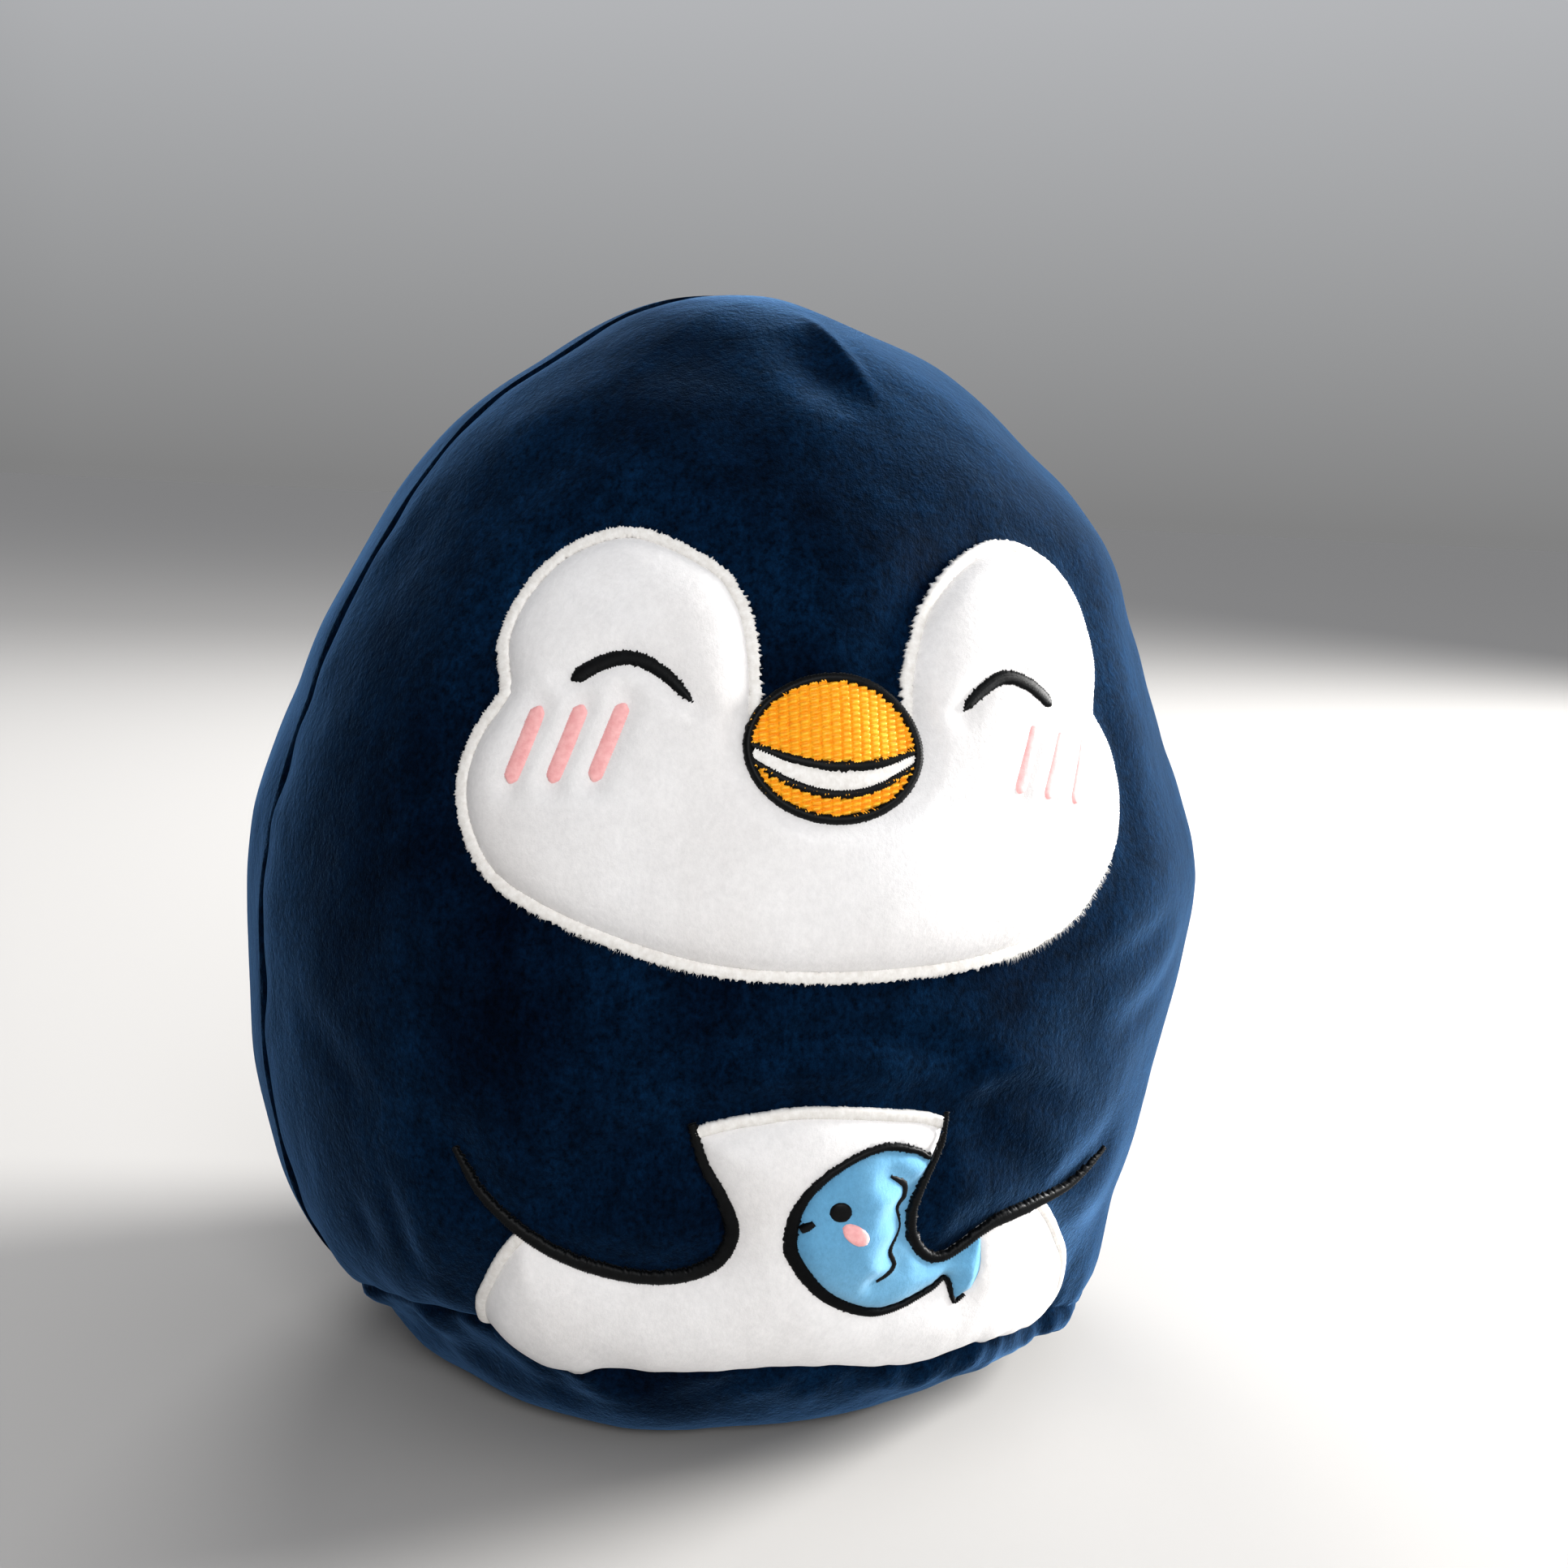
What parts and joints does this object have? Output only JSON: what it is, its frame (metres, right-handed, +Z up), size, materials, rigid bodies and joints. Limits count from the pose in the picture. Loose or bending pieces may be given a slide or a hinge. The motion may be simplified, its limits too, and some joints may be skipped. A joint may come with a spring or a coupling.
{
  "type": "plush penguin",
  "caption": "Egg-shaped stuffed penguin in navy plush with a white face and belly, an embroidered beak and closed eyes, holding a small fish, on a flat sewn base.",
  "frame": {"origin": "middle of the flat sewn base, on the surface that the toy sits on", "axes": "+Z up through the crown, the face looks along -Y, +X towards the penguin's own left"},
  "size_m": [0.216, 0.1979, 0.24],
  "materials": {
    "navy_plush": "short dense pile, soft sheen",
    "fibre_fill": "loose white polyester fibre",
    "stabiliser": "matt non-woven sheet",
    "navy_thread": "matt polyester thread",
    "white_plush": "short brushed pile, matt",
    "white_thread": "satin stitched embroidery thread",
    "black_thread": "satin stitched embroidery thread, slight gloss",
    "pink_thread": "satin stitched embroidery thread",
    "orange_thread": "filled embroidery in short rows, slight gloss",
    "blue_plush": "short brushed pile, matt"
  },
  "bodies": {
    "root": {"front_panel": "navy_plush", "back_panel": "navy_plush", "base_panel": "navy_plush", "stuffing": "fibre_fill", "face_backing": "stabiliser", "belly_backing": "stabiliser", "side_seam_thread": "navy_thread", "base_seam_thread": "navy_thread", "crown_dart_thread": "navy_thread", "closing_stitches": "navy_thread", "face_patch": "white_plush", "face_border": "white_thread", "right_eye": "black_thread", "left_eye": "black_thread", "right_blush_1": "pink_thread", "right_blush_2": "pink_thread", "right_blush_3": "pink_thread", "left_blush_1": "pink_thread", "left_blush_2": "pink_thread", "left_blush_3": "pink_thread", "beak_outline": "black_thread", "beak_upper": "orange_thread", "upper_lip_line": "black_thread", "mouth_band": "white_thread", "lower_lip_line": "black_thread", "beak_lower": "orange_thread", "belly_patch": "white_plush", "belly_top_border": "white_thread", "belly_right_border": "white_thread", "belly_left_border": "white_thread", "right_flipper_outline": "black_thread", "left_flipper_outline": "black_thread", "fish_body": "blue_plush", "fish_outline": "black_thread", "fish_gill_line": "black_thread", "fish_eye": "black_thread", "fish_cheek": "pink_thread", "fish_mouth": "black_thread"}
  },
  "joints": []
}
